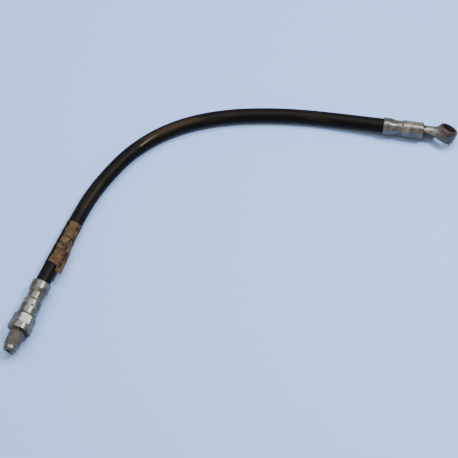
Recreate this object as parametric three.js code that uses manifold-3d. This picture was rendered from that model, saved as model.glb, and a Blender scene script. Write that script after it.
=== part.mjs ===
// Hydraulic brake hose assembly: a braided rubber hose with a banjo end and a male threaded end,
// both held on by crimped ferrules. Millimetres, +Z up, lying on the plane z = 0.
// The origin is under the middle of the two end fittings' footprint.
//
// The hose is one flexible piece. Its five layers are cut into four lengths at three upright
// hinges, so that it can bend in the plane it lies in. Each cut is an hourglass: 0.3 mm wide at
// the hinge axis, opening to both sides so the lengths can turn without meeting.
import * as THREE from 'three';
import Module from 'manifold-3d';
import { mergeVertices } from 'three/addons/utils/BufferGeometryUtils.js';

const wasm = await Module();
wasm.setup();

// ---------------------------------------------------------------- driving dimensions

const PLAN_CENTRE = [1.07, -4.57]; // middle of the fittings' footprint, in route coordinates

// Hose layers, inside to outside: inner and outer radius.
const LAYERS = {
  inner_tube: { inner: 1.6, outer: 2.55, look: 'liner' },
  inner_braid: { inner: 2.65, outer: 3.0, look: 'braid' },
  cushion: { inner: 3.1, outer: 3.45, look: 'liner' },
  outer_braid: { inner: 3.55, outer: 3.9, look: 'braid' },
  cover: { inner: 4.0, outer: 5.25, look: 'rubber' },
};
const HOSE_RADIUS = LAYERS.cover.outer;
const HOSE_SIDES = 12;
const HOSE_STEPS = 16; // one step inside each ferrule, fourteen between them
const INSERTED = 22; // hose length inside each ferrule

// Ferrules. Stations run from the mouth (0) away from the hose: collar, waist, lobe.
const BANJO_FERRULE = {
  length: 29.2, collarRadius: 6.3, collarEnd: 5.4, waistRadius: 5.3, waist: [10, 13],
  lobeRadius: 6.0, lobeStart: 14.2,
};
const MALE_FERRULE = {
  length: 26, collarRadius: 6.9, collarEnd: 6.1, waistRadius: 5.9, waist: [9, 13.4],
  lobeRadius: 6.6, lobeStart: 15,
};
const FERRULE_BORE = 5.45;
const WAIST_BORE = 4.75;
const MOUTH_BORE = 5.95;
const END_WALL = 2.6; // closed end of the ferrule, round the body's tail
const WALL_HOLE = 3.2;
const GAP = 0.3; // between pieces that touch

// Stem: barbed tube inside the hose, seated in the body.
const STEM_RADIUS = 1.3;
const BARB_RADIUS = 1.5;
const STEM_BORE = 0.9;
const STEM_SPAN = [3, 31];
const BARB_PITCH = 4;

// Tail of each body, trapped behind the ferrule's end wall.
const TAIL_RADIUS = 2.9;
const TAIL_FLANGE = 4.6;
const TAIL_START = 22.4;
const SEAT_RADIUS = 1.7; // bore in the body that takes the stem
const PASSAGE = 1.2;

// Banjo end. The eye is set at an angle to the neck and rolled round it.
const EYE_CENTRE = 45.8;
const EYE_BEND = 20; // degrees between the neck and the plane of the eye
const EYE_ROLL = 33; // degrees, as it lies
const EYE_RADIUS = 7.5;
const EYE_LAND = 6.5; // radius of the flat sealing face
const EYE_HALF_HEIGHT = 5;
const EYE_HOLE = 5.1;
const NECK_RADIUS = 4.25;
const SPOT_FACE_RADIUS = 7.7; // clears the neck from the sealing faces

// Male end.
const HEX_ACROSS_FLATS = 14;
const HEX_SPAN = [26.3, 32.9];
const HEX_ROLL = 20; // degrees between its top flat and level, as it lies
const SHOULDER_RADIUS = 8.5;
const SHOULDER_END = 38.1;
const SHOULDER_RECESS = 5.9; // inner radius of the shoulder's flat face
const UNDERCUT_END = 39.1;
const THREAD_RADIUS = 5.55;
const THREAD_ROOT = 4.85;
const THREAD_PITCH = 1.27;
const THREAD_END = 49.4;
const NOSE_RADIUS = 4.7;
const NOSE_FACE = 3.8;
const NOSE_END = 53.7;
const NOSE_MOUTH = 2.6;
const NOSE_BORE = 1.9;

// Where the fittings lie: ferrule mouth and heading (degrees) of each fitting's own +X.
const BANJO_END = { mouth: [106.2, 82.0, 8], heading: -8.7 };
const MALE_END = { mouth: [-134.1, -45.8, SHOULDER_RADIUS], heading: -111 };

// Hose centreline between the two mouths. The first and last points follow the mouths.
const LYING = 5.3;
const HINGE_POINTS = [
  [63.3, 89.6, 5.4],
  [-22.2, 88.7, LYING],
  [-92.1, 42.2, LYING],
];
const OPEN_ROUTE = [
  [86.0, 85.7, 6.7],
  HINGE_POINTS[0],
  [41.8, 91.9, LYING],
  [20.3, 92.7, LYING],
  [-1.2, 91.9, LYING],
  HINGE_POINTS[1],
  [-42.4, 82.5, LYING],
  [-61.4, 72.5, LYING],
  [-78.2, 58.8, LYING],
  HINGE_POINTS[2],
  [-103.8, 24.3, 5.5],
  [-113.2, 4.5, 5.95],
  [-122.6, -18.0, 7.1],
];

const HINGE_HALF_ANGLE = 14; // degrees, half of each hourglass opening
const LABEL_SPAN = [15, 51]; // distance from the male mouth
const LABEL_RADII = [5.38, 5.7];

// ---------------------------------------------------------------- materials

const LOOKS = {
  zinc: { color: 0x9b9c97, roughness: 0.38, metalness: 0.9 },
  steel: { color: 0x85868a, roughness: 0.45, metalness: 0.9 },
  rubber: { color: 0x1a1917, roughness: 0.6, metalness: 0 },
  liner: { color: 0x24211f, roughness: 0.8, metalness: 0 },
  braid: { color: 0xb8ab8c, roughness: 0.95, metalness: 0 },
  paper: { color: 0xa07a4c, roughness: 0.9, metalness: 0 },
};

// ---------------------------------------------------------------- helpers

const radians = (degrees) => degrees * Math.PI / 180;

function toSolid(geometry) {
  const bare = geometry.clone();
  bare.deleteAttribute('normal');
  bare.deleteAttribute('uv');
  const merged = mergeVertices(bare, 1e-4);
  return new wasm.Manifold(new wasm.Mesh({
    numProp: 3,
    vertProperties: new Float32Array(merged.attributes.position.array),
    triVerts: new Uint32Array(merged.index.array),
  }));
}

function toGeometry(solid) {
  const mesh = solid.getMesh();
  const geometry = new THREE.BufferGeometry();
  geometry.setAttribute('position', new THREE.BufferAttribute(mesh.vertProperties, 3));
  geometry.setIndex(new THREE.BufferAttribute(mesh.triVerts, 1));
  geometry.computeVertexNormals();
  return geometry;
}

// A closed profile of [station, radius] points turned round the fitting's +X axis.
function turned(profile, segments = 24) {
  const points = profile.map(([station, radius]) => new THREE.Vector2(radius, station));
  points.push(points[0].clone());
  const geometry = new THREE.LatheGeometry(points, segments);
  return toOutward(geometry.rotateZ(-Math.PI / 2));
}

// Turns the faces round when a closed shape comes out inside out.
function toOutward(geometry) {
  const position = geometry.attributes.position;
  const index = geometry.index.array;
  const corner = [0, 1, 2].map(() => new THREE.Vector3());
  let volume = 0;
  for (let i = 0; i < index.length; i += 3) {
    corner.forEach((point, k) => point.fromBufferAttribute(position, index[i + k]));
    volume += corner[0].dot(corner[1].cross(corner[2]));
  }
  if (volume < 0) {
    geometry.setIndex(Array.from(index).reverse());
  }
  return geometry;
}

function cylinderX(radius, start, end, segments = 24) {
  const geometry = new THREE.CylinderGeometry(radius, radius, end - start, segments);
  return geometry.rotateZ(-Math.PI / 2).translate((start + end) / 2, 0, 0);
}

function named(name, geometry, look) {
  const mesh = new THREE.Mesh(geometry, new THREE.MeshStandardMaterial(LOOKS[look]));
  mesh.name = name;
  return mesh;
}

// ---------------------------------------------------------------- ferrule and stem

function ferruleGeometry(ferrule) {
  const { length, collarRadius, collarEnd, waistRadius, waist, lobeRadius, lobeStart } = ferrule;
  const wall = length - END_WALL;
  return turned([
    [0, MOUTH_BORE], [0, collarRadius - 0.15], [0.5, collarRadius], [collarEnd, collarRadius],
    [waist[0], waistRadius], [waist[1], waistRadius], [lobeStart, lobeRadius],
    [length - 1.2, lobeRadius], [length - 0.3, lobeRadius - 0.4],
    [length, lobeRadius - 1.1], [length, WALL_HOLE], [wall, WALL_HOLE],
    [wall, FERRULE_BORE], [lobeStart + 0.4, FERRULE_BORE], [waist[1], WAIST_BORE],
    [waist[0], WAIST_BORE], [waist[0] - 3.5, FERRULE_BORE], [2.5, FERRULE_BORE],
  ]);
}

// The ring of cover rubber that the crimp presses away.
function crimpCutter({ waist, lobeStart }) {
  const start = waist[0] - 3.3;
  return turned([
    [start, HOSE_RADIUS + 0.05], [waist[0], WAIST_BORE - 0.25], [waist[1], WAIST_BORE - 0.25],
    [lobeStart + 0.1, HOSE_RADIUS + 0.05], [lobeStart + 0.1, HOSE_RADIUS + 1],
    [start, HOSE_RADIUS + 1],
  ]);
}

function stemGeometry() {
  const [start, end] = STEM_SPAN;
  const profile = [[start, STEM_BORE], [start, STEM_RADIUS - 0.1]];
  for (let x = start + 1; x + BARB_PITCH <= INSERTED - 1; x += BARB_PITCH) {
    profile.push([x, STEM_RADIUS - 0.1], [x + 2, BARB_RADIUS], [x + 2.2, BARB_RADIUS]);
    profile.push([x + 2.4, STEM_RADIUS - 0.1]);
  }
  profile.push([end, STEM_RADIUS - 0.1], [end, STEM_BORE]);
  return turned(profile, HOSE_SIDES);
}

// Profile of the part of a body that sits inside and through the ferrule, up to its outer face.
function tailProfile({ length }) {
  const flangeEnd = length - END_WALL - GAP;
  return [
    [TAIL_START, SEAT_RADIUS], [TAIL_START, TAIL_FLANGE], [flangeEnd, TAIL_FLANGE],
    [flangeEnd, TAIL_RADIUS], [length + GAP, TAIL_RADIUS],
  ];
}

// ---------------------------------------------------------------- banjo end body

// Turns a shape made round +Z to the eye's own axis and place.
function toEye(geometry) {
  geometry.rotateY(radians(EYE_BEND)).rotateX(-radians(EYE_ROLL));
  return geometry.translate(EYE_CENTRE, 0, 0);
}

function cylinderZ(radius, low, high) {
  const geometry = new THREE.CylinderGeometry(radius, radius, high - low, 28);
  return geometry.rotateX(Math.PI / 2).translate(0, 0, (low + high) / 2);
}

function eyeGeometry() {
  const h = EYE_HALF_HEIGHT;
  const outline = [
    [EYE_LAND, -h], [EYE_RADIUS - 0.45, -h + 1.6], [EYE_RADIUS, -0.6], [EYE_RADIUS, 0.6],
    [EYE_RADIUS - 0.45, h - 1.6], [EYE_LAND, h],
  ];
  const points = [[0, -h], ...outline, [0, h]].map(([r, z]) => new THREE.Vector2(r, z));
  return toOutward(new THREE.LatheGeometry(points, 28).rotateX(Math.PI / 2));
}

function banjoBodyGeometry() {
  const seatEnd = STEM_SPAN[1] + GAP;
  const h = EYE_HALF_HEIGHT;
  const shank = turned([
    ...tailProfile(BANJO_FERRULE), [BANJO_FERRULE.length + GAP, NECK_RADIUS],
    [EYE_CENTRE - 2, NECK_RADIUS], [EYE_CENTRE - 2, PASSAGE], [seatEnd, PASSAGE],
    [seatEnd, SEAT_RADIUS],
  ]);
  const cuts = [
    cylinderX(PASSAGE, EYE_CENTRE - EYE_RADIUS - 2, EYE_CENTRE, 12),
    toEye(cylinderZ(SPOT_FACE_RADIUS, h, 2 * h)),
    toEye(cylinderZ(SPOT_FACE_RADIUS, -2 * h, -h)),
    toEye(cylinderZ(EYE_HOLE, -2 * h, 2 * h)),
  ];
  const blank = toSolid(toEye(eyeGeometry())).add(toSolid(shank));
  return toGeometry(cuts.reduce((solid, cut) => solid.subtract(toSolid(cut)), blank));
}

// ---------------------------------------------------------------- male end body

function hexGeometry() {
  const [start, end] = HEX_SPAN;
  const corner = HEX_ACROSS_FLATS / 2 / Math.cos(radians(30));
  const prism = cylinderX(corner, start, end + 0.5, 6).rotateX(radians(30 - HEX_ROLL));
  const bevel = 0.9;
  const rounding = turned([
    [start, 0], [start, corner - bevel], [start + bevel, corner + 0.1],
    [end + 0.5, corner + 0.1], [end + 0.5, 0],
  ], 36);
  return toSolid(prism).intersect(toSolid(rounding));
}

function maleTurnedProfile() {
  const hexEnd = HEX_SPAN[1];
  const profile = [
    ...tailProfile(MALE_FERRULE), [MALE_FERRULE.length + GAP, THREAD_RADIUS],
    [hexEnd, THREAD_RADIUS], [hexEnd, SHOULDER_RADIUS - 0.4], [hexEnd + 0.4, SHOULDER_RADIUS],
    [SHOULDER_END - 0.4, SHOULDER_RADIUS], [SHOULDER_END, SHOULDER_RADIUS - 0.4],
    [SHOULDER_END, SHOULDER_RECESS], [SHOULDER_END - GAP, SHOULDER_RECESS],
    [SHOULDER_END - GAP, THREAD_ROOT - 0.3], [UNDERCUT_END, THREAD_ROOT - 0.3],
  ];
  for (let x = UNDERCUT_END; x < THREAD_END - THREAD_PITCH / 2; x += THREAD_PITCH) {
    profile.push([x + THREAD_PITCH * 0.4, THREAD_RADIUS], [x + THREAD_PITCH * 0.6, THREAD_RADIUS]);
    profile.push([x + THREAD_PITCH, THREAD_ROOT]);
  }
  const seatEnd = STEM_SPAN[1] + GAP;
  const noseStart = profile.at(-1)[0];
  profile.push(
    [noseStart + 0.3, NOSE_RADIUS], [NOSE_END - 1.2, NOSE_RADIUS], [NOSE_END, NOSE_FACE],
    [NOSE_END, NOSE_MOUTH], [NOSE_END - 1, NOSE_BORE], [NOSE_END - 8, NOSE_BORE],
    [NOSE_END - 8, PASSAGE], [seatEnd, PASSAGE], [seatEnd, SEAT_RADIUS],
  );
  return profile;
}

function maleBodyGeometry() {
  const core = cylinderX(THREAD_RADIUS - 1, HEX_SPAN[0] - 1, HEX_SPAN[1] + 2);
  const hex = hexGeometry().subtract(toSolid(core));
  return toGeometry(hex.add(toSolid(turned(maleTurnedProfile()))));
}

// ---------------------------------------------------------------- hose

const centred = ([x, y, z]) => new THREE.Vector3(x - PLAN_CENTRE[0], y - PLAN_CENTRE[1], z);

function stationPoint({ mouth, heading }, station) {
  const along = [Math.cos(radians(heading)) * station, Math.sin(radians(heading)) * station];
  return [mouth[0] + along[0], mouth[1] + along[1], mouth[2]];
}

function hoseRoute() {
  const points = [
    stationPoint(BANJO_END, INSERTED), stationPoint(BANJO_END, INSERTED / 2), BANJO_END.mouth,
    ...OPEN_ROUTE,
    MALE_END.mouth, stationPoint(MALE_END, INSERTED / 2), stationPoint(MALE_END, INSERTED),
  ];
  return new THREE.CatmullRomCurve3(points.map(centred), false, 'centripetal');
}

function ringShape(inner, outer) {
  const circle = (radius, turn) => Array.from({ length: HOSE_SIDES }, (_, k) => {
    const angle = turn * 2 * Math.PI * k / HOSE_SIDES;
    return new THREE.Vector2(radius * Math.cos(angle), radius * Math.sin(angle));
  });
  const shape = new THREE.Shape(circle(outer, 1));
  shape.holes.push(new THREE.Path(circle(inner, -1)));
  return shape;
}

function hoseTube(route, inner, outer) {
  return toSolid(new THREE.ExtrudeGeometry(ringShape(inner, outer), {
    steps: HOSE_STEPS,
    extrudePath: route,
    bevelEnabled: false,
  }));
}

// Distance along the route, from the banjo end of the hose, to the point nearest to a place.
function distanceTo(route, place) {
  const samples = 2000;
  let best = 0;
  let nearest = Infinity;
  for (let i = 0; i <= samples; i += 1) {
    const gap = route.getPointAt(i / samples).distanceTo(place);
    if (gap < nearest) {
      nearest = gap;
      best = i / samples;
    }
  }
  return best * route.getLength();
}

function hourglass(route, point) {
  const place = centred(point);
  const tangent = route.getTangentAt(distanceTo(route, place) / route.getLength());
  const reach = HOSE_RADIUS + 4;
  const half = GAP / 2;
  const open = half + reach * Math.tan(radians(HINGE_HALF_ANGLE));
  const outline = [[-half, 0], [-open, -reach], [open, -reach], [half, 0], [open, reach], [-open, reach]];
  const shape = new THREE.Shape(outline.map(([x, y]) => new THREE.Vector2(x, y)));
  const prism = new THREE.ExtrudeGeometry(shape, { depth: 4 * reach, bevelEnabled: false });
  prism.translate(0, 0, -2 * reach).rotateZ(Math.atan2(tangent.y, tangent.x));
  prism.translate(place.x, place.y, place.z);
  return toSolid(prism);
}

function crimpAt(end, ferrule) {
  const cutter = crimpCutter(ferrule).rotateZ(radians(end.heading));
  const place = centred(end.mouth);
  return toSolid(cutter.translate(place.x, place.y, place.z));
}

// The lengths of one layer, in order from the banjo end.
function hoseLengths(route, layer, cuts) {
  let tube = hoseTube(route, layer.inner, layer.outer);
  if (layer.outer === HOSE_RADIUS) {
    tube = tube.subtract(crimpAt(BANJO_END, BANJO_FERRULE));
    tube = tube.subtract(crimpAt(MALE_END, MALE_FERRULE));
  }
  cuts.forEach((cut) => {
    tube = tube.subtract(cut);
  });
  const middle = (solid) => {
    const { min, max } = solid.boundingBox();
    return distanceTo(route, new THREE.Vector3(...min).add(new THREE.Vector3(...max)).divideScalar(2));
  };
  return tube.decompose().sort((a, b) => middle(a) - middle(b));
}

function labelGeometry(route) {
  const length = route.getLength();
  const [near, far] = LABEL_SPAN.map((distance) => length - INSERTED - distance);
  const middle = (near + far) / 2;
  const slab = new THREE.BoxGeometry(near - far, 40, 40);
  const tangent = route.getTangentAt(middle / length);
  slab.applyQuaternion(new THREE.Quaternion().setFromUnitVectors(new THREE.Vector3(1, 0, 0), tangent));
  slab.translate(...route.getPointAt(middle / length).toArray());
  return toGeometry(hoseTube(route, ...LABEL_RADII).intersect(toSolid(slab)));
}

// ---------------------------------------------------------------- assembly

function endGroup({ mouth, heading }, meshes) {
  const group = new THREE.Group();
  group.position.copy(centred(mouth));
  group.rotation.z = radians(heading);
  group.add(...meshes);
  return group;
}

function hoseGroup() {
  const group = new THREE.Group();
  const route = hoseRoute();
  const cuts = HINGE_POINTS.map((point) => hourglass(route, point));
  for (const [name, layer] of Object.entries(LAYERS)) {
    hoseLengths(route, layer, cuts).forEach((solid, index) => {
      group.add(named(`hose_${name}_${index + 1}`, toGeometry(solid), layer.look));
    });
  }
  group.add(named('paper_label', labelGeometry(route), 'paper'));
  return group;
}

const assembly = new THREE.Group();
assembly.add(
  endGroup(BANJO_END, [
    named('banjo_body', banjoBodyGeometry(), 'zinc'),
    named('banjo_stem', stemGeometry(), 'steel'),
    named('banjo_ferrule', ferruleGeometry(BANJO_FERRULE), 'zinc'),
  ]),
  hoseGroup(),
  endGroup(MALE_END, [
    named('male_body', maleBodyGeometry(), 'zinc'),
    named('male_stem', stemGeometry(), 'steel'),
    named('male_ferrule', ferruleGeometry(MALE_FERRULE), 'zinc'),
  ]),
);

export default assembly;
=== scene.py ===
# Hydraulic brake hose assembly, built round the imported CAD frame. Metres, +Z up.
# Fittings are made in their own frame: +X runs from the ferrule's mouth away from the hose.
import math

import bpy
import numpy as np
from mathutils import Matrix, Vector


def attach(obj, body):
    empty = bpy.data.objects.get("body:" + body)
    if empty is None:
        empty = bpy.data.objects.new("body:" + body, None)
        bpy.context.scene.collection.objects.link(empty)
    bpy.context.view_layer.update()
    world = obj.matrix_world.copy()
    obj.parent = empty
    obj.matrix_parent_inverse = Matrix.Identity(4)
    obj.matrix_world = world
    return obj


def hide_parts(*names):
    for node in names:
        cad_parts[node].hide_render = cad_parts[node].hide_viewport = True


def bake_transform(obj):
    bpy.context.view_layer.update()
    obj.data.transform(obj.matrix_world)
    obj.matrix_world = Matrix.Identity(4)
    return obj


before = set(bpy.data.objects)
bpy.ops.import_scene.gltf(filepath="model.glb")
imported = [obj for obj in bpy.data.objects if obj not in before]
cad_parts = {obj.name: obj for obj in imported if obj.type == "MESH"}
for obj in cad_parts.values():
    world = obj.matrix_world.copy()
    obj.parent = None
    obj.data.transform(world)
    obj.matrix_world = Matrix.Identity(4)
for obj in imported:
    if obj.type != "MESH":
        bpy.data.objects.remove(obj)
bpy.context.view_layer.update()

MM = 0.001

# ------------------------------------------------------------------ driving dimensions (mm)

PLAN_CENTRE = (1.07, -4.57)
BANJO_END = {"mouth": (106.2, 82.0, 8.0), "heading": -8.7}
MALE_END = {"mouth": (-134.1, -45.8, 8.5), "heading": -111}
INSERTED = 22.0  # hose inside each ferrule

HINGE_POINTS = [(63.3, 89.6, 5.4), (-22.2, 88.7, 5.3), (-92.1, 42.2, 5.3)]
OPEN_ROUTE = [
    (86.0, 85.7, 6.7), HINGE_POINTS[0], (41.8, 91.9, 5.3), (20.3, 92.7, 5.3), (-1.2, 91.9, 5.3),
    HINGE_POINTS[1], (-42.4, 82.5, 5.3), (-61.4, 72.5, 5.3), (-78.2, 58.8, 5.3), HINGE_POINTS[2],
    (-103.8, 24.3, 5.5), (-113.2, 4.5, 5.95), (-122.6, -18.0, 7.1),
]
RING_PITCH = 0.8 * MM  # between the rings of a hose layer's mesh

LAYERS = {
    "inner_tube": (1.6, 2.6),
    "inner_braid": (2.65, 3.05),
    "cushion": (3.1, 3.5),
    "outer_braid": (3.55, 3.95),
    "cover": (4.0, 5.25),
}
LAYER_SLOTS = {
    "inner_tube": "liner_rubber",
    "inner_braid": "braid",
    "cushion": "liner_rubber",
    "outer_braid": "braid",
    "cover": "cover_rubber",
}
COVER_RADIUS = 5.25
DUST_AND_SHEEN_BANDS = (  # stretches of the cover's crest with dust and painted sheen, from the hose's banjo end
    (150.0, 212.0, (0.022, 0.015, 0.008, 1.0)),
    (246.0, 275.0, (0.014, 0.012, 0.008, 1.0)),
)
SCUFF = {"span": (188.0, 207.0), "out": (-1.2, -2.3), "half": 0.45}  # out: towards the arch's outer side
LABEL_SPAN = (15.0, 51.0)  # from the male mouth
LABEL_TURN = (-239.0, 196.0)  # degrees round the hose, 0 at the outer side and 90 on top
PAPER_THICKNESS = 0.11
PEEL_FROM = 132  # degrees round the hose where the outer edge starts to peel off
TAB_LENGTH = 3.8  # how far the peeled edge reaches past the label's lower end
DARK_CROSS_LINES = [(13.0, 0.35), (23.6, 0.30), (25.1, 0.22)]  # dark lines across the label: distance down the label, half width
BLOT_ROWS = (138, 160)  # degrees round the hose

# Crimped shells: radii of the collar at the mouth, of the waist and of the lobe, and the waist's span.
BANJO_FERRULE = {
    "length": 29.2, "collar": 6.3, "collar_end": 5.4, "waist": 5.3, "span": (10, 13), "lobe": 6.0,
}
MALE_FERRULE = {
    "length": 26.0, "collar": 6.9, "collar_end": 6.1, "waist": 5.9, "span": (9, 13.4), "lobe": 6.6,
}
SHELL_BORE, PRESSED_BORE = 5.45, 4.75
WALL_HOLE = 3.2
WALL_THICKNESS = 2.6
FLANGE_RADIUS, FLANGE_GAP = 4.6, 2.9  # the fitting's tail inside the shell, and its distance from the far end
TAIL_RADIUS = 2.9
STEM_BORE, STEM_RADIUS, BARB_RADIUS = 0.9, 1.2, 1.5
STEM_SEAT = 1.7
WAIST_MIDDLE = 11.5
DENT_SHADE_AT = (19.3, 2.3, 6.2)  # painted shade of a small dent on the male ferrule's lobe, in the fitting's frame
TAIL_START = 22.4
STEM_START, STEM_END = 3.0, 31.0

EYE_CENTRE = 45.8
EYE_BEND = 20
EYE_ROLL = 33
EYE_RADIUS = 7.5
EYE_HALF_HEIGHT = 5.0
EYE_HOLE = 5.1
HOLE_CHAMFER = 0.35
SPOT_FACE_RADIUS = 7.7
NECK_RADIUS = 4.25

HEX_ACROSS, HEX_START, HEX_END = 14.0, 26.3, 32.9
HEX_ROLL = math.radians(20)
SHOULDER_RADIUS, SHOULDER_END, RECESS_RADIUS = 8.5, 38.1, 5.9
THREAD_START, THREAD_END = 39.1, 49.4
THREAD_RADIUS, THREAD_DEPTH, THREAD_PITCH = 5.55, 0.7, 1.27
NOSE_RADIUS, NOSE_FACE, NOSE_END = 4.7, 3.8, 53.7
NOSE_MOUTH, NOSE_BORE = 2.6, 1.9


# ------------------------------------------------------------------ camera

CAMERA_ELEVATION = math.radians(62)
CAMERA_DISTANCE = 0.9882
CAMERA_AIM = Vector((-0.00715, 0.0056, 0.0))
CAMERA_LENS = 110.04


def make_camera():
    data = bpy.data.cameras.new("camera")
    data.lens = CAMERA_LENS
    data.sensor_width = 36.0
    camera = bpy.data.objects.new("camera", data)
    bpy.context.scene.collection.objects.link(camera)
    back = Vector((0, -math.cos(CAMERA_ELEVATION), math.sin(CAMERA_ELEVATION)))
    camera.location = CAMERA_AIM + back * CAMERA_DISTANCE
    camera.rotation_euler = (math.pi / 2 - CAMERA_ELEVATION, 0, 0)
    bpy.context.scene.camera = camera


make_camera()


# ------------------------------------------------------------------ hose route

def centred(point):
    """From the plan's millimetres to the frame's metres."""
    return Vector((point[0] - PLAN_CENTRE[0], point[1] - PLAN_CENTRE[1], point[2])) * MM


def station(end, distance):
    """The point that far inside a fitting from its mouth, on its axis."""
    turn = math.radians(end["heading"])
    x, y, z = end["mouth"]
    return (x + math.cos(turn) * distance, y + math.sin(turn) * distance, z)


def catmull_rom(points, per_span=60):
    """Centripetal Catmull-Rom through the points."""
    ends = [points[0] * 2 - points[1], *points, points[-1] * 2 - points[-2]]
    line = []
    for p0, p1, p2, p3 in zip(ends, ends[1:], ends[2:], ends[3:]):
        d0, d1, d2 = ((a - b).length ** 0.5 for a, b in ((p0, p1), (p1, p2), (p2, p3)))
        t1 = ((p1 - p0) / d0 - (p2 - p0) / (d0 + d1) + (p2 - p1) / d1) * d1
        t2 = ((p2 - p1) / d1 - (p3 - p1) / (d1 + d2) + (p3 - p2) / d2) * d1
        for i in range(per_span):
            t = i / per_span
            line.append(
                p1 * (2 * t**3 - 3 * t**2 + 1) + t1 * (t**3 - 2 * t**2 + t)
                + p2 * (-2 * t**3 + 3 * t**2) + t2 * (t**3 - t**2)
            )
    line.append(points[-1].copy())
    return np.array([tuple(p) for p in line])


class Route:
    """The hose centreline by distance, in metres, from the hose's end inside the banjo ferrule."""

    def __init__(self):
        points = [station(BANJO_END, INSERTED), station(BANJO_END, INSERTED / 2), BANJO_END["mouth"]]
        points += OPEN_ROUTE
        points += [MALE_END["mouth"], station(MALE_END, INSERTED / 2), station(MALE_END, INSERTED)]
        self.line = catmull_rom([centred(p) for p in points])
        steps = np.linalg.norm(np.diff(self.line, axis=0), axis=1)
        self.distance = np.concatenate([[0], np.cumsum(steps)])
        self.length = float(self.distance[-1])

    def at(self, s):
        return np.array([np.interp(s, self.distance, self.line[:, k]) for k in range(3)]).T

    def frame_at(self, s, reach=0.0015):
        """Centre, side and up vectors at distances s; side points to the crown of the arch."""
        s = np.asarray(s, float)
        forward = self.at(s + reach) - self.at(s - reach)
        forward /= np.linalg.norm(forward, axis=-1, keepdims=True)
        side = np.cross(forward, np.array([0.0, 0.0, 1.0]))
        side /= np.linalg.norm(side, axis=-1, keepdims=True)
        return self.at(s), side, np.cross(side, forward)

    def nearest(self, point):
        gaps = np.linalg.norm(self.line - np.array(point), axis=1)
        return float(self.distance[int(gaps.argmin())])


ROUTE = Route()
HINGES = [ROUTE.nearest(centred(p)) for p in HINGE_POINTS]
SEAMS = [0.0, (HINGES[0] + HINGES[1]) / 2, (HINGES[1] + HINGES[2]) / 2, ROUTE.length]
BODIES = ["banjo_end", "hose_crown", "hose_shoulder", "male_end"]


# ------------------------------------------------------------------ mesh helpers

def link_mesh(name, verts, faces, material, sharp=math.radians(35)):
    """A smooth-shaded object, with edges sharper than an angle kept sharp."""
    mesh = bpy.data.meshes.new(name)
    mesh.from_pydata([tuple(v) for v in verts], [], [tuple(f) for f in faces])
    mesh.update()
    mesh.polygons.foreach_set("use_smooth", [True] * len(mesh.polygons))
    if sharp is not None:
        mesh.set_sharp_from_angle(angle=sharp)
    mesh.materials.append(material)
    obj = bpy.data.objects.new(name, mesh)
    bpy.context.scene.collection.objects.link(obj)
    return obj


def place_attribute(obj, name, values):
    attribute = obj.data.attributes.new(name, "FLOAT_VECTOR", "POINT")
    attribute.data.foreach_set("vector", np.asarray(values, np.float32).ravel())


def ring_faces(rings, segments):
    """Quads of a closed ring of rings."""
    faces = []
    for i in range(rings):
        j = (i + 1) % rings
        for k in range(segments):
            m = (k + 1) % segments
            faces.append((i * segments + k, i * segments + m, j * segments + m, j * segments + k))
    return faces


def fillet(outline, steps=5):
    """Replaces each (station, radius, fillet) corner of a closed outline with a small curve."""
    made = []
    count = len(outline)
    for i, (x, r, f) in enumerate(outline):
        here = Vector((x, r))
        if f <= 0:
            made.append((x, r))
            continue
        before = Vector(outline[i - 1][:2]) - here
        after = Vector(outline[(i + 1) % count][:2]) - here
        half = max(before.angle(after) / 2, 0.05)
        cut = min(f / math.tan(half), 0.48 * before.length, 0.48 * after.length)
        a = here + before.normalized() * cut
        b = here + after.normalized() * cut
        for step in range(steps + 1):
            t = step / steps
            p = a * (1 - t) ** 2 + here * 2 * t * (1 - t) + b * t * t
            made.append((p.x, p.y))
    return made


def refine(outline, longest):
    """Adds points so that no span of a closed outline is longer than that."""
    made = []
    for i, (x, r) in enumerate(outline):
        nx, nr = outline[(i + 1) % len(outline)]
        parts = max(1, math.ceil(math.hypot(nx - x, nr - r) / longest))
        made += [(x + (nx - x) * k / parts, r + (nr - r) * k / parts) for k in range(parts)]
    return made


def turned(name, outline, material, shape=None, segments=96, longest=0.6):
    """A closed outline turned round +X. shape(x, r, angle) may change the radius."""
    rings = np.array(refine(outline, longest))
    angle = np.linspace(0, 2 * np.pi, segments, endpoint=False)
    x = np.repeat(rings[:, :1], segments, axis=1)
    r = np.repeat(rings[:, 1:], segments, axis=1)
    a = np.repeat(angle[None, :], len(rings), axis=0)
    if shape:
        x, r = shape(x, r, a)
    verts = np.stack([x, r * np.cos(a), r * np.sin(a)], axis=-1).reshape(-1, 3) * MM
    return link_mesh(name, verts, ring_faces(len(rings), segments), material)


def seat(obj, end):
    """Puts a piece made in a fitting's own frame where the CAD has that fitting."""
    turn = Matrix.Rotation(math.radians(end["heading"]), 4, "Z")
    obj.matrix_world = Matrix.Translation(centred(end["mouth"])) @ turn
    return obj


# ------------------------------------------------------------------ node helpers

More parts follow.
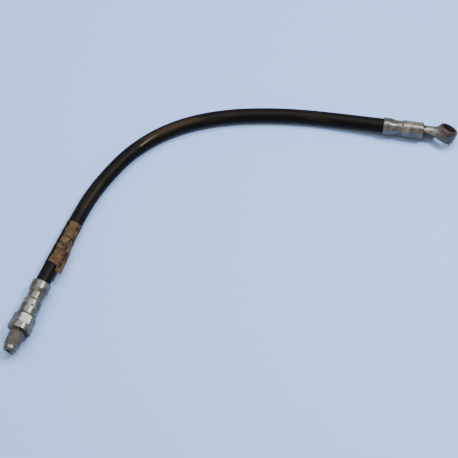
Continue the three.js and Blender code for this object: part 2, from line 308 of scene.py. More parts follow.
class Nodes:
    """Short calls for building a material's node tree."""

    def __init__(self, name):
        self.material = bpy.data.materials.new(name)
        self.material.use_nodes = True
        self.tree = self.material.node_tree
        self.shader = self.tree.nodes["Principled BSDF"]

    def add(self, kind, **settings):
        node = self.tree.nodes.new(kind)
        for key, value in settings.items():
            setattr(node, key, value)
        return node

    def put(self, socket, value):
        if isinstance(value, bpy.types.NodeSocket):
            self.tree.links.new(value, socket)
        else:
            socket.default_value = value

    def object_place(self):
        return self.add("ShaderNodeTexCoord").outputs["Object"]

    def attribute(self, name):
        return self.add("ShaderNodeAttribute", attribute_name=name).outputs["Vector"]

    def scaled(self, place, scale):
        node = self.add("ShaderNodeMapping")
        self.put(node.inputs["Vector"], place)
        node.inputs["Scale"].default_value = scale
        return node.outputs["Vector"]

    def noise(self, place, scale, detail=4, rough=0.55, warp=0.0):
        node = self.add("ShaderNodeTexNoise")
        self.put(node.inputs["Vector"], place)
        node.inputs["Scale"].default_value = scale
        node.inputs["Detail"].default_value = detail
        node.inputs["Roughness"].default_value = rough
        node.inputs["Distortion"].default_value = warp
        return node.outputs["Fac"]

    def ramp(self, value, low, high, a=0.0, b=1.0):
        """Runs smoothly from a at low to b at high."""
        node = self.add("ShaderNodeMapRange", interpolation_type="SMOOTHSTEP")
        self.put(node.inputs["Value"], value)
        for key, number in (("From Min", low), ("From Max", high), ("To Min", a), ("To Max", b)):
            node.inputs[key].default_value = number
        return node.outputs["Result"]

    def math(self, operation, a, b=0.0):
        node = self.add("ShaderNodeMath", operation=operation)
        for socket, value in zip(node.inputs, (a, b)):
            self.put(socket, value)
        return node.outputs["Value"]

    def plus(self, a, b):
        return self.math("ADD", a, b)

    def minus(self, a, b):
        return self.math("SUBTRACT", a, b)

    def times(self, a, b):
        return self.math("MULTIPLY", a, b)

    def gap(self, a, b):
        """How far apart two values are."""
        return self.math("ABSOLUTE", self.minus(a, b))

    def near(self, value, centre, full, none, most=1.0):
        """The most within `full` of the centre, and nothing beyond `none`."""
        return self.ramp(self.gap(value, centre), full, none, most, 0.0)

    def mix(self, factor, a, b):
        node = self.add("ShaderNodeMix", data_type="RGBA")
        self.put(node.inputs["Factor"], factor)
        self.put(node.inputs["A"], a)
        self.put(node.inputs["B"], b)
        return node.outputs["Result"]

    def split(self, place):
        node = self.add("ShaderNodeSeparateXYZ")
        self.put(node.inputs[0], place)
        return node.outputs

    def bump(self, height, strength, distance, normal=None):
        node = self.add("ShaderNodeBump")
        node.inputs["Strength"].default_value = strength
        node.inputs["Distance"].default_value = distance
        self.put(node.inputs["Height"], height)
        if normal is not None:
            self.put(node.inputs["Normal"], normal)
        return node.outputs["Normal"]

    def finish(self, **sockets):
        for key, value in sockets.items():
            self.put(self.shader.inputs[key.replace("_", " ")], value)
        return self.material


def rgb(*values):
    return (*values, 1.0)


# ------------------------------------------------------------------ materials

def zinc_material(name, *extras):
    """Dull zinc plate: grey mottling, white bloom, grime in the waist, fine tool lines.

    Each extra is a function that changes the look in one place.
    """
    n = Nodes(name)
    place = n.object_place()
    mottle = n.noise(place, 260, 5, 0.6)
    grain = n.noise(place, 1500, 3, 0.6)
    bloom = n.ramp(n.noise(place, 90, 3, 0.5, 0.4), 0.55, 0.75)
    speck = n.ramp(n.noise(place, 700, 2, 0.5), 0.64, 0.74)
    along = n.split(place)["X"]
    grime = n.times(n.near(along, WAIST_MIDDLE * MM, 0.0012, 0.0042), n.ramp(mottle, 0.3, 0.62, 0.2, 0.75))
    colour = n.mix(n.ramp(mottle, 0.33, 0.7), rgb(0.056, 0.062, 0.061), rgb(0.132, 0.143, 0.142))
    colour = n.mix(n.times(bloom, 0.35), colour, rgb(0.205, 0.216, 0.214))
    colour = n.mix(n.times(speck, 0.6), colour, rgb(0.035, 0.03, 0.022))
    colour = n.mix(n.times(grime, 0.45), colour, rgb(0.07, 0.06, 0.045))
    look = {
        "colour": colour,
        "rough": n.ramp(mottle, 0.3, 0.75, 0.23, 0.40),
        "metal": n.minus(0.55, n.times(bloom, 0.25)),
    }
    for extra in extras:
        extra(n, place, look)
    lines = n.noise(n.scaled(place, (1.0, 0.06, 0.06)), 2600, 2, 0.5)
    normal = n.bump(lines, 0.10, 0.0001)
    normal = n.bump(grain, 0.16, 0.0001, normal)
    normal = n.bump(mottle, 0.25, 0.0002, normal)
    return n.finish(
        Base_Color=look["colour"], Roughness=look["rough"], Metallic=look["metal"],
        Specular_Tint=rgb(1.0, 0.84, 0.66), Normal=normal,
    )


def shaded_eye(n, place, look):
    """Painted shade on the banjo eye: its flat faces and far side darkened, and its hole near-black with a
    brown tint.
    """
    u, v, height = n.split(n.attribute("eye_place"))
    # painted shade: the flat faces and their rims darkened towards black
    face = n.ramp(n.math("ABSOLUTE", height), 0.0037, 0.0045, 0.0, 0.92)
    colour = n.mix(face, look["colour"], rgb(0.016, 0.013, 0.011))
    # painted shade: the far side of the eye darker
    far = n.ramp(n.split(place)["X"], (EYE_CENTRE - 5) * MM, (EYE_CENTRE + 3) * MM)
    colour = n.mix(n.times(far, 0.6), colour, rgb(0.034, 0.030, 0.026))
    # painted shade: the inside of the hole near-black, with a brown tint
    across = n.math("SQRT", n.plus(n.times(u, u), n.times(v, v)))
    inside = n.ramp(across, (EYE_HOLE + 0.05) * MM, (EYE_HOLE + 0.30) * MM, 1.0, 0.0)
    blotch = n.ramp(n.noise(place, 500, 5, 0.6), 0.4, 0.7)
    hole_shade = n.mix(blotch, rgb(0.006, 0.003, 0.003), rgb(0.020, 0.008, 0.005))
    look["colour"] = n.mix(n.times(inside, 0.97), colour, hole_shade)
    metal = n.minus(look["metal"], n.times(face, 0.2))
    look["metal"] = n.math("MAXIMUM", n.minus(metal, n.times(inside, 0.4)), 0.0)
    look["rough"] = n.plus(n.plus(look["rough"], n.times(face, 0.2)), n.times(inside, 0.3))


def dull_thread(n, place, look):
    dull = n.near(n.split(place)["X"], (THREAD_START + THREAD_END) / 2 * MM, 0.0048, 0.0056)
    look["colour"] = n.mix(n.times(dull, 0.6), look["colour"], rgb(0.115, 0.116, 0.108))
    look["rough"] = n.plus(look["rough"], n.times(dull, 0.25))
    look["metal"] = n.times(look["metal"], n.minus(1.0, n.times(dull, 0.6)))


def dent_shade(n, place, look):
    # Painted shade of a small dent: a near-black spot on the lobe; the dent's pit is not modelled.
    reach = n.add("ShaderNodeVectorMath", operation="DISTANCE")
    n.put(reach.inputs[0], place)
    reach.inputs[1].default_value = [d * MM for d in DENT_SHADE_AT]
    ragged_shade = n.plus(reach.outputs["Value"], n.ramp(n.noise(place, 1500, 3, 0.6), 0.3, 0.7, -0.0002, 0.0002))
    dent_shade_mask = n.ramp(ragged_shade, 0.0004, 0.0010, 0.85, 0.0)
    look["colour"] = n.mix(dent_shade_mask, look["colour"], rgb(0.004, 0.004, 0.003))
    look["rough"] = n.plus(look["rough"], n.times(dent_shade_mask, 0.5))
    look["metal"] = n.times(look["metal"], n.minus(1.0, dent_shade_mask))


def steel_material():
    n = Nodes("turned_steel")
    place = n.object_place()
    stain = n.noise(place, 400, 4)
    colour = n.mix(n.ramp(stain, 0.35, 0.7), rgb(0.32, 0.32, 0.33), rgb(0.5, 0.5, 0.51))
    rough = n.ramp(stain, 0.3, 0.7, 0.3, 0.5)
    normal = n.bump(n.noise(place, 2000, 3), 0.2, 0.0001)
    return n.finish(Base_Color=colour, Roughness=rough, Metallic=1.0, Normal=normal)


def cover_material():
    """Black rubber, dusty along its length, with dust and painted sheen on stretches of its crest, one scuff
    and small specks.
    """
    n = Nodes("cover_rubber")
    place = n.attribute("hose_place")
    streak = n.noise(n.scaled(place, (0.06, 1, 1)), 420, 4, 0.6)
    cloud = n.noise(n.scaled(place, (0.35, 1, 1)), 60, 4, 0.55)
    grain = n.noise(place, 2400, 3, 0.6)
    speck = n.ramp(n.noise(place, 900, 2, 0.5), 0.69, 0.76)
    dust = n.times(n.ramp(streak, 0.42, 0.72), n.ramp(cloud, 0.38, 0.68, 0.15, 1.0))
    colour = n.mix(dust, rgb(0.0030, 0.0026, 0.0021), rgb(0.0105, 0.0080, 0.0050))
    colour = n.mix(n.times(speck, 0.5), colour, rgb(0.06, 0.05, 0.04))
    along, out, up = n.split(place)
    # dust and painted sheen: the top of the hose lighter and browner in the listed stretches
    crest = n.times(n.ramp(up, 0.0036, 0.0050), n.ramp(out, 0.0006, 0.0024, 1.0, 0.0))
    dust_and_sheen = n.times(crest, n.ramp(streak, 0.35, 0.6))
    for start, end, tint in DUST_AND_SHEEN_BANDS:
        half = (end - start) / 2 * MM
        band = n.near(along, (start + end) / 2 * MM, half * 0.6, half)
        colour = n.mix(n.times(band, dust_and_sheen), colour, tint)
    colour = n.mix(scuff_mark(n, along, out, up, streak), colour, rgb(0.13, 0.11, 0.08))
    rough = n.ramp(dust, 0.0, 1.0, 0.48, 0.70)
    normal = n.bump(streak, 0.22, 0.0002)
    normal = n.bump(grain, 0.25, 0.0001, normal)
    return n.finish(Base_Color=colour, Roughness=rough, Specular_IOR_Level=0.07, Normal=normal)


def scuff_mark(n, along, out, up, streak):
    """A thin pale scratch that runs a little across the top of the hose."""
    start, end = (d * MM for d in SCUFF["span"])
    first, last = (d * MM for d in SCUFF["out"])
    half = SCUFF["half"] * MM
    line = n.plus(n.times(n.minus(along, start), (last - first) / (end - start)), first)
    thin = n.times(n.near(out, line, half * 0.5, half), n.ramp(up, 0.003, 0.004))
    fade = n.times(n.ramp(along, start, end - 0.005), n.ramp(along, end - 0.001, end, 1.0, 0.0))
    return n.times(n.times(thin, fade), n.ramp(streak, 0.3, 0.55, 0.4, 1.0))


def liner_material():
    n = Nodes("liner_rubber")
    grain = n.noise(n.attribute("hose_place"), 1500, 4)
    colour = n.mix(grain, rgb(0.02, 0.018, 0.016), rgb(0.06, 0.054, 0.048))
    rough = n.ramp(grain, 0.3, 0.7, 0.7, 0.85)
    return n.finish(Base_Color=colour, Roughness=rough, Normal=n.bump(grain, 0.3, 0.0001))


def braid_material():
    """Two families of strands wound opposite ways, from the distance along and the angle round."""
    n = Nodes("braid")
    along, turn, _ = n.split(n.attribute("braid_place"))
    strands = []
    for sign in (1, -1):
        phase = n.plus(n.times(along, 420.0), n.times(turn, sign * 12.0))
        strands.append(n.math("ABSOLUTE", n.math("SINE", n.times(phase, math.pi))))
    weave = n.math("MAXIMUM", *strands)
    fibre = n.noise(n.attribute("hose_place"), 3000, 3)
    colour = n.mix(n.ramp(weave, 0.5, 1.0), rgb(0.22, 0.18, 0.12), rgb(0.66, 0.6, 0.47))
    colour = n.mix(n.ramp(fibre, 0.4, 0.8, 0.0, 0.4), colour, rgb(0.4, 0.34, 0.24))
    rough = n.ramp(fibre, 0.3, 0.7, 0.85, 0.97)
    return n.finish(Base_Color=colour, Roughness=rough, Normal=n.bump(weave, 0.6, 0.0003))


def paper_material():
    """Aged brown paper, from the distance along the hose and the distance round it, with painted shade down
    one side.
    """
    n = Nodes("kraft_paper")
    place = n.attribute("paper_place")
    along, around, _ = n.split(place)
    fibre = n.noise(n.scaled(place, (1, 0.25, 1)), 1800, 4, 0.65)
    stain = n.noise(place, 150, 5, 0.6, 0.5)
    colour = n.mix(n.ramp(stain, 0.36, 0.66), rgb(0.018, 0.010, 0.006), rgb(0.100, 0.066, 0.038))
    colour = n.mix(n.ramp(along, 0.0120, 0.0135, 0.45, 0.0), colour, rgb(0.075, 0.052, 0.014))
    colour = n.mix(n.ramp(along, 0.0235, 0.0255, 0.0, 0.3), colour, rgb(0.090, 0.046, 0.018))
    colour = n.mix(n.ramp(fibre, 0.35, 0.75, 0.0, 0.45), colour, rgb(0.13, 0.092, 0.062))
    worn = n.ramp(n.noise(place, 420, 2), 0.3, 0.45, 0.35, 0.95)
    for centre, half in DARK_CROSS_LINES:
        line = n.near(along, centre * MM, half * 0.5 * MM, half * 2.6 * MM, 0.9)
        colour = n.mix(n.times(line, worn), colour, rgb(0.006, 0.003, 0.002))
    for degrees in BLOT_ROWS:
        band = n.near(around, math.radians(degrees) * COVER_RADIUS * MM, 0.0005, 0.0012)
        blot = n.ramp(n.noise(n.scaled(place, (1, 0.7, 1)), 180 + degrees, 2, 0.5), 0.49, 0.55)
        colour = n.mix(n.times(n.times(band, blot), 0.85), colour, rgb(0.012, 0.007, 0.004))
    # painted shade: a near-black ragged band down the shaded side of the sheet
    ragged_shade = n.plus(n.gap(around, 0.0026), n.ramp(n.noise(place, 260, 4), 0.3, 0.7, -0.0007, 0.0007))
    colour = n.mix(n.ramp(ragged_shade, 0.0032, 0.0042, 0.97, 0.0), colour, rgb(0.004, 0.0032, 0.0024))
    rough = n.ramp(fibre, 0.3, 0.7, 0.78, 0.95)
    normal = n.bump(fibre, 0.35, 0.0001)
    normal = n.bump(stain, 0.4, 0.0004, normal)
    return n.finish(Base_Color=colour, Roughness=rough, Specular_IOR_Level=0.12, Normal=normal)


ZINC = zinc_material("zinc_plate")
ZINC_DENT_SHADED = zinc_material("zinc_plate_dented", dent_shade)
ZINC_BANJO = zinc_material("zinc_plate_banjo", shaded_eye)
ZINC_MALE = zinc_material("zinc_plate_male", dull_thread)
STEEL = steel_material()
COVER = cover_material()
LINER = liner_material()
BRAID = braid_material()
PAPER = paper_material()


# ------------------------------------------------------------------ ferrules

def ferrule(name, end, size, body, material):
    """A shell crimped over the hose: collar, waist and lobe outside, a wall with a hole at the far end."""
    length, collar, waist, lobe = size["length"], size["collar"], size["waist"], size["lobe"]
    first, last = size["span"]
    wall = length - WALL_THICKNESS
    outline = fillet([
        (0, SHELL_BORE - 0.03, 0.3), (0, collar - 0.1, 0.35), (0.7, collar, 0.4),
        (size["collar_end"] - 0.3, collar, 0.5),
        (first - 0.4, waist, 2.0), (last + 0.1, waist, 0.8), (last + 1.6, lobe, 0.9), (length, lobe, 0.9),
        (length, WALL_HOLE, 0.2), (wall, WALL_HOLE, 0.2),
        (wall, SHELL_BORE, 0.3), (last + 1.8, SHELL_BORE, 0.5),
        (last, PRESSED_BORE, 0.5), (first, PRESSED_BORE, 0.5), (first - 3.5, SHELL_BORE, 0.5),
        (2.5, SHELL_BORE - 0.1, 0.3),
    ])
    middle = (first + last) / 2

    def crimp(x, r, a):
        """Eight jaws leave faint flats round the waist and long shallow ones on the lobe."""
        outside = r > waist - 0.25
        ring = np.exp(-(((x - middle) / 2.2) ** 2)) * 0.085
        barrel = np.exp(-(((x - length + 7.3) / 5.5) ** 4)) * 0.03
        jaw = np.abs(np.cos(4 * a)) ** 6
        r = r - outside * (ring + barrel) * jaw
        return x, r + outside * 0.02 * np.sin(3 * a + 0.35 * x)

    piece = seat(turned(name, outline, material, crimp), end)
    return dress(piece, body, "zinc_plate", name.removesuffix("_shell"))


def dress(piece, body, slot, *nodes):
    """Puts a piece on its body and hides the CAD nodes that it stands for; the slot is not used."""
    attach(piece, body)
    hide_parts(*nodes)
    return piece


# ------------------------------------------------------------------ stems

def stem(name, end, body):
    """A thin tube with four barbs."""
    outline = [(STEM_START, STEM_BORE, 0.1), (STEM_START, STEM_RADIUS, 0.1)]
    for x in (4, 8, 12, 16):
        outline += [(x, STEM_RADIUS, 0.05), (x + 2.0, BARB_RADIUS, 0.05)]
        outline += [(x + 2.2, BARB_RADIUS, 0.05), (x + 2.4, STEM_RADIUS, 0.05)]
    outline += [(STEM_END, STEM_RADIUS, 0.1), (STEM_END, STEM_BORE, 0.1)]
    piece = seat(turned(name, fillet(outline, 3), STEEL, segments=48), end)
    return dress(piece, body, "stem_steel", name.removesuffix("_tube"))


# ------------------------------------------------------------------ banjo body, as a distance field

def soft_min(a, b, k):
    h = np.clip(0.5 + 0.5 * (b - a) / k, 0, 1)
    return b * (1 - h) + a * h - k * h * (1 - h)


def soft_max(a, b, k):
    return -soft_min(-a, -b, k)


def rod(p, radius, start, end, k=0.3):
    """A round bar along X."""
    x, y, z = p
    side = np.sqrt(y * y + z * z) - radius
    return soft_max(soft_max(side, start - x, k), x - end, k)


def eye_axes():
    """The eye's own x, y and hole axis in the fitting's frame."""
    turn = Matrix.Rotation(-math.radians(EYE_ROLL), 3, "X") @ Matrix.Rotation(math.radians(EYE_BEND), 3, "Y")
    return np.array(turn).T


def to_eye(p):
    """Coordinates about the middle of the eye's hole, the third one along its axis."""
    x, y, z = p
    return [axis[0] * (x - EYE_CENTRE) + axis[1] * y + axis[2] * z for axis in eye_axes()]


def parting_line(height):
    """The raised seam that a forging die leaves, by height above its plane."""
    return np.exp(-((height / 0.28) ** 2))


def banjo_field(p):
    """Distance in mm to the forging: ring eye, neck and the tail inside the ferrule, less its drillings."""
    x, y, z = p
    u, v, h = to_eye(p)
    across = np.sqrt(u * u + v * v)
    crown = 0.30 * (h / EYE_HALF_HEIGHT) ** 2 + 0.70 * (h / EYE_HALF_HEIGHT) ** 6
    rim = EYE_RADIUS - 0.1 - crown + 0.13 * parting_line(h)
    eye = soft_max(across - rim, abs(h) - EYE_HALF_HEIGHT, 0.5)
    roll = math.radians(EYE_ROLL)
    neck = rod(p, NECK_RADIUS, BANJO_FERRULE["length"] + 0.15, EYE_CENTRE - 3.0, 0.3)
    neck = neck - 0.1 * parting_line(y * math.sin(roll) + z * math.cos(roll)) * (x > 32)
    solid = soft_min(eye, neck, 2.6)
    beyond_face = soft_max(across - SPOT_FACE_RADIUS, EYE_HALF_HEIGHT - abs(h), 0.2)
    solid = soft_max(solid, -beyond_face, 0.2)
    flange_end = BANJO_FERRULE["length"] - FLANGE_GAP
    flange = rod(p, FLANGE_RADIUS, TAIL_START, flange_end)
    tail = soft_min(rod(p, TAIL_RADIUS, flange_end - 1, STEM_END), flange, 0.2)
    solid = soft_min(solid, tail, 0.2)
    hole = across - (EYE_HOLE + np.clip(abs(h) - (EYE_HALF_HEIGHT - HOLE_CHAMFER), 0, 1))
    solid = soft_max(solid, -hole, 0.2)
    solid = soft_max(solid, -rod(p, STEM_RADIUS, STEM_END - 1, EYE_CENTRE), 0.15)
    return soft_max(solid, -rod(p, STEM_SEAT, TAIL_START - 2.4, STEM_END + 0.3), 0.15)


def surface_net(field, low, high, step):
    """Quads where the field changes sign, with each vertex drawn onto the surface."""
    axes = [np.arange(a, b + step, step) for a, b in zip(low, high)]
    grid = np.meshgrid(*axes, indexing="ij")
    inside = field(grid) < 0
    shape = inside.shape
    corners = sum(
        inside[i:shape[0] - 1 + i, j:shape[1] - 1 + j, k:shape[2] - 1 + k].astype(int)
        for i in (0, 1) for j in (0, 1) for k in (0, 1)
    )
    crossed = (corners > 0) & (corners < 8)
    number = -np.ones(crossed.shape, int)
    number[crossed] = np.arange(crossed.sum())
    cells = np.argwhere(crossed)
    verts = np.array([axis[cells[:, k]] + step / 2 for k, axis in enumerate(axes)])
    for _ in range(12):
        verts = verts - newton_step(field, verts, step)
    faces = []
    for axis in range(3):
        faces.append(net_quads(inside, number, axis))
    return verts.T, np.concatenate(faces)


def newton_step(field, verts, step):
    value = field(verts)
    slope = np.zeros_like(verts)
    for k in range(3):
        nudge = np.zeros((3, 1))
        nudge[k] = 0.02
        slope[k] = (field(verts + nudge) - field(verts - nudge)) / 0.04
    move = slope * value / np.maximum((slope**2).sum(0), 0.2)
    return np.clip(move, -step / 4, step / 4)


def net_quads(inside, number, axis):
    """One quad for each grid edge along axis whose two ends are on different sides."""
    here = np.moveaxis(inside, axis, 0)
    ids = np.moveaxis(number, axis, 0)
    change = here[1:, 1:-1, 1:-1] != here[:-1, 1:-1, 1:-1]
    i, j, k = np.nonzero(change)
    leaving = here[:-1, 1:-1, 1:-1][i, j, k]
    quads = np.stack([ids[i, j, k], ids[i, j + 1, k], ids[i, j + 1, k + 1], ids[i, j, k + 1]], axis=1)
    flip = leaving if axis != 1 else ~leaving
    quads[~flip] = quads[~flip][:, ::-1]
    return quads


def banjo_body():
    step = 0.22
    verts, faces = surface_net(banjo_field, (21.5, -9.5, -9.5), (54.5, 9.5, 9.5), step)
    piece = link_mesh("banjo_body_forging", verts * MM, faces, ZINC_BANJO, math.radians(50))
    place_attribute(piece, "eye_place", np.stack(to_eye(verts.T), axis=1) * MM)
    return dress(seat(piece, BANJO_END), "banjo_end", "zinc_plate", "banjo_body")


# ------------------------------------------------------------------ male body

def male_shape(x, r, a):
    """Cuts the hexagon and the thread into a turned blank."""
    corner = HEX_ACROSS / 2 / np.cos(((a + HEX_ROLL) % (np.pi / 3)) - np.pi / 6)
    rise = np.minimum(x - HEX_START, (HEX_END + 0.7 - x) + 0.4)
    cone = HEX_ACROSS / 2 - 0.05 + np.clip(rise, 0, 3) * 1.5
    hexagon = soft_min(corner, soft_min(cone, HEX_ACROSS / 2 + 1.0, 0.2), 0.25)
    on_hex = (x > HEX_START + 0.001) & (x < HEX_END) & (r > 6)
    r = np.where(on_hex, np.minimum(r, hexagon), r)
    turns = x / THREAD_PITCH - a / (2 * np.pi)
    saw = np.abs((turns % 1.0) - 0.5) * 2
    groove = np.clip((saw - 0.12) / 0.76, 0, 1)
    fade = np.clip((x - THREAD_START + 0.2) / 0.8, 0, 1) * np.clip((THREAD_END + 0.1 - x) / 0.7, 0, 1)
    on_thread = (x > THREAD_START - 0.2) & (x < THREAD_END + 0.1) & (r > 4.75)
    return x, np.where(on_thread, r - THREAD_DEPTH * groove * fade, r)


def male_outline():
    """The blank's outline: tail, hexagon, round collar, undercut, thread, nose and bore, back to the tail."""
    flange_end = MALE_FERRULE["length"] - FLANGE_GAP
    hex_blank = HEX_ACROSS / 2 + 1.6
    return fillet([
        (TAIL_START, STEM_SEAT, 0.1), (TAIL_START, FLANGE_RADIUS, 0.2),
        (flange_end, FLANGE_RADIUS, 0.2), (flange_end, TAIL_RADIUS, 0.2),
        (HEX_START, TAIL_RADIUS, 0.1), (HEX_START, 6.5, 0.2), (HEX_START + 0.02, hex_blank, 0),
        (HEX_END - 0.05, hex_blank, 0), (HEX_END + 0.02, 6.5, 0.1), (HEX_END + 0.3, 6.5, 0.1),
        (HEX_END + 0.45, SHOULDER_RADIUS - 0.1, 0.4), (SHOULDER_END, SHOULDER_RADIUS, 0.6),
        (SHOULDER_END, RECESS_RADIUS, 0.1), (SHOULDER_END - 0.3, RECESS_RADIUS - 0.1, 0.1),
        (SHOULDER_END - 0.3, 4.7, 0.2), (THREAD_START, 4.65, 0.2),
        (THREAD_START + 0.4, THREAD_RADIUS, 0.1), (THREAD_END, THREAD_RADIUS, 0.2),
        (THREAD_END + 0.6, NOSE_RADIUS, 0.2), (NOSE_END - 1.2, NOSE_RADIUS, 0.9), (NOSE_END, NOSE_FACE, 0.5),
        (NOSE_END, NOSE_MOUTH, 0.3), (NOSE_END - 1.0, NOSE_BORE, 0.3), (NOSE_END - 8, NOSE_BORE, 0.1),
        (NOSE_END - 8.8, STEM_RADIUS, 0.1),
        (STEM_END + 0.3, STEM_RADIUS, 0.05), (STEM_END + 0.3, STEM_SEAT, 0.05),
    ])


def male_body():
    piece = turned("male_body_turned", male_outline(), ZINC_MALE, male_shape, segments=144, longest=0.18)
    return dress(seat(piece, MALE_END), "male_end", "zinc_plate", "male_body")


# ------------------------------------------------------------------ hose

def crimped(s, radius):
    """The cover's outer radius: pressed in at each ferrule's waist, swollen at its mouth."""
    for mouth in (INSERTED * MM, ROUTE.length - INSERTED * MM):
        inward = (mouth - s) if mouth < 0.1 else (s - mouth)
        depth = 0.8 * np.exp(-(((inward / MM - 11.4) / 2.8) ** 4))
        swell = 0.07 * np.exp(-(((inward / MM + 1.6) / 1.5) ** 2))
        radius = radius - depth * MM + swell * MM
    return radius


def layer_rings(along, inner, outer, segments):
    """Ring vertices out along a layer's outside and back along its inside, with their two attributes."""
    centre, side, up = ROUTE.frame_at(along)
    angle = np.linspace(0, 2 * np.pi, segments, endpoint=False)
    outward, inward = range(len(along)), range(len(along) - 1, -1, -1)
    rings, places, weave = [], [], []
    for radii, order in ((outer, outward), (np.full_like(along, inner), inward)):
        for i in order:
            across = np.outer(np.cos(angle), side[i]) + np.outer(np.sin(angle), up[i])
            rings.append(centre[i] + across * radii[i])
            here = np.full_like(angle, along[i])
            places.append(np.stack([here, np.cos(angle) * radii[i], np.sin(angle) * radii[i]], 1))
            weave.append(np.stack([here, angle / (2 * np.pi), 0 * angle], 1))
    return rings, places, weave


def hose_layer(layer, index, material):
    """One third of a layer, from seam to seam, closed at both ends."""
    inner, outer = (r * MM for r in LAYERS[layer])
    is_cover = layer == "cover"
    segments = 64 if is_cover else 32
    start, end = SEAMS[index], SEAMS[index + 1]
    along = np.linspace(start, end, max(8, round((end - start) / RING_PITCH)) + 1)
    radii = np.full_like(along, outer)
    rings, places, weave = layer_rings(along, inner, crimped(along, radii) if is_cover else radii, segments)
    faces = np.array(ring_faces(len(rings), segments))[:, ::-1]
    piece = link_mesh(f"hose_{layer}_length_{index + 1}", np.concatenate(rings), faces, material)
    place_attribute(piece, "hose_place", np.concatenate(places))
    place_attribute(piece, "braid_place", np.concatenate(weave))
    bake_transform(piece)
    nodes = [f"hose_{layer}_{index + 1}"]
    if index == len(HINGES) - 1:
        nodes.append(f"hose_{layer}_{len(BODIES)}")
    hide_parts(*nodes)
    return piece


def build_hose():
    """Three lengths of every layer."""
    materials = {"liner_rubber": LINER, "braid": BRAID, "cover_rubber": COVER}
    for index in range(len(HINGES)):
        inside = [
            hose_layer(layer, index, materials[LAYER_SLOTS[layer]])
            for layer in LAYERS if layer != "cover"
        ]
        cover = hose_layer("cover", index, COVER)


# ------------------------------------------------------------------ paper label

def smooth_step(t):
    t = np.clip(t, 0, 1)
    return t**2 * (3 - 2 * t)


def label_radius(v, angle):
    """The sheet's distance from the hose's axis: it laps over its own start and is a little creased."""
    start = math.radians(LABEL_TURN[0])
    lap = smooth_step((angle - start - 2 * math.pi) / math.radians(12))
    wrinkle = 0.06 * np.sin(5 * angle + 22 * v) * np.sin(5 * np.pi * v) + 0.05 * np.sin(31 * v + 2 * angle)
    curled_ends = 0.12 * (np.exp(-v / 0.03) + np.exp(-(1 - v) / 0.03))
    return COVER_RADIUS + 0.10 + 0.30 * lap + wrinkle + curled_ends


def paper_label():
    """A sheet rolled a little more than once round the hose; its outer edge peels off to one side."""
    high = ROUTE.length - (INSERTED + LABEL_SPAN[0]) * MM
    low = ROUTE.length - (INSERTED + LABEL_SPAN[1]) * MM
    rows, columns = 90, 180
    turns = np.linspace(*(math.radians(t) for t in LABEL_TURN), columns + 1)
    v, angle = np.meshgrid(np.linspace(0, 1, rows + 1), turns, indexing="ij")
    tab = smooth_step((angle - math.radians(138)) / math.radians(7)) * smooth_step((v - 0.75) / 0.25)
    slant = 0.6 * np.sin(angle + 0.6) * (1 - 2 * v)
    distance = low + (high - low) * v + (slant + TAB_LENGTH * tab) * MM
    past = np.clip(angle - math.radians(PEEL_FROM), 0, None)
    loose = past * smooth_step((v - 0.1) / 0.9) ** 0.8
    held = angle - loose
    sheets = []
    for thickness in (0.0, PAPER_THICKNESS):
        centre, side, up = ROUTE.frame_at(distance.ravel())
        r = label_radius(v, angle) + thickness
        flat = loose * r
        x = (r * np.cos(held) - flat * np.sin(held)) * MM
        y = (r * np.sin(held) + flat * np.cos(held)) * MM
        sheets.append(centre + side * x.ravel()[:, None] + up * y.ravel()[:, None])
    faces = sheet_faces(rows, columns)
    piece = link_mesh("paper_label_wrap", np.concatenate(sheets), faces, PAPER, math.radians(60))
    unrolled = np.stack([distance - low, angle * COVER_RADIUS * MM, 0 * v], -1).reshape(-1, 3)
    place_attribute(piece, "paper_place", np.concatenate([unrolled, unrolled]))
    return dress(piece, "male_end", "kraft_paper", "paper_label")


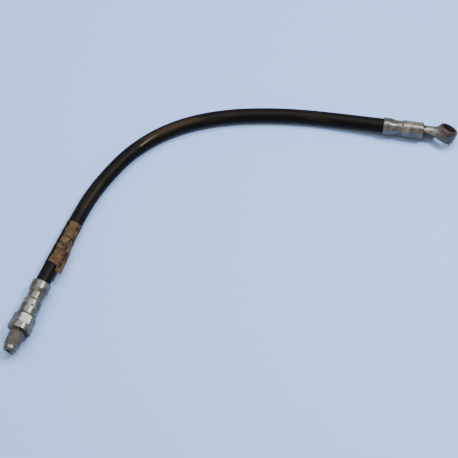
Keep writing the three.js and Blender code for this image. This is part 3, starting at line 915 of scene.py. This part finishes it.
def sheet_faces(rows, columns):
    wide = columns + 1
    top = (rows + 1) * wide
    faces = []
    for i in range(rows):
        for j in range(columns):
            a, b, c, d = i * wide + j, i * wide + j + 1, (i + 1) * wide + j + 1, (i + 1) * wide + j
            faces.append((a, b, c, d))
            faces.append((top + d, top + c, top + b, top + a))
    rim = [i * wide for i in range(rows, -1, -1)]
    rim += list(range(1, columns + 1))
    rim += [i * wide + columns for i in range(1, rows + 1)]
    rim += [rows * wide + j for j in range(columns - 1, 0, -1)]
    for a, b in zip(rim, rim[1:] + rim[:1]):
        faces.append((b, a, top + a, top + b))
    return faces


# ------------------------------------------------------------------ floor and light

def build_stage():
    """A plain pale blue table."""
    floor_material = Nodes("floor")
    place = floor_material.object_place()
    tone = floor_material.noise(place, 3, 3)
    colour = floor_material.mix(tone, rgb(0.28, 0.46, 0.92), rgb(0.30, 0.48, 0.94))
    floor_material.finish(Base_Color=colour, Roughness=0.55)
    corners = [(-3, -3, 0), (3, -3, 0), (3, 3, 0), (-3, 3, 0)]
    floor = link_mesh("floor", corners, [(0, 1, 2, 3)], floor_material.material, None)


def area_light(name, place, size, power, colour):
    """A square light, its side in metres, that faces the origin."""
    data = bpy.data.lights.new(name, "AREA")
    data.shape = "RECTANGLE"
    data.size = data.size_y = size
    data.energy = power
    data.color = colour
    light = bpy.data.objects.new(name, data)
    light.location = place
    light.rotation_euler = (-Vector(place)).to_track_quat("-Z", "Y").to_euler()
    bpy.context.scene.collection.objects.link(light)


def build_lights():
    """A key from the right, a soft ceiling panel, a small light for the highlights and a warm world."""
    world = bpy.data.worlds.new("studio")
    world.use_nodes = True
    background = world.node_tree.nodes["Background"]
    background.inputs["Color"].default_value = rgb(1.0, 0.68, 0.40)
    background.inputs["Strength"].default_value = 0.60
    bpy.context.scene.world = world
    area_light("key", (0.55, 0.12, 1.00), 0.18, 12, (0.92, 0.97, 1.0))
    area_light("ceiling", (-0.35, 0.25, 1.4), 1.3, 22, (0.88, 0.96, 1.0))
    area_light("sparkle", (0.30, 0.46, 1.06), 0.07, 5.0, (1.0, 0.99, 0.97))


# ------------------------------------------------------------------ assembly

build_hose()
paper_label()
banjo_body()
male_body()
ferrule("banjo_ferrule_shell", BANJO_END, BANJO_FERRULE, "banjo_end", ZINC)
stem("banjo_stem_tube", BANJO_END, "banjo_end")
ferrule("male_ferrule_shell", MALE_END, MALE_FERRULE, "male_end", ZINC_DENT_SHADED)
stem("male_stem_tube", MALE_END, "male_end")
build_stage()
build_lights()
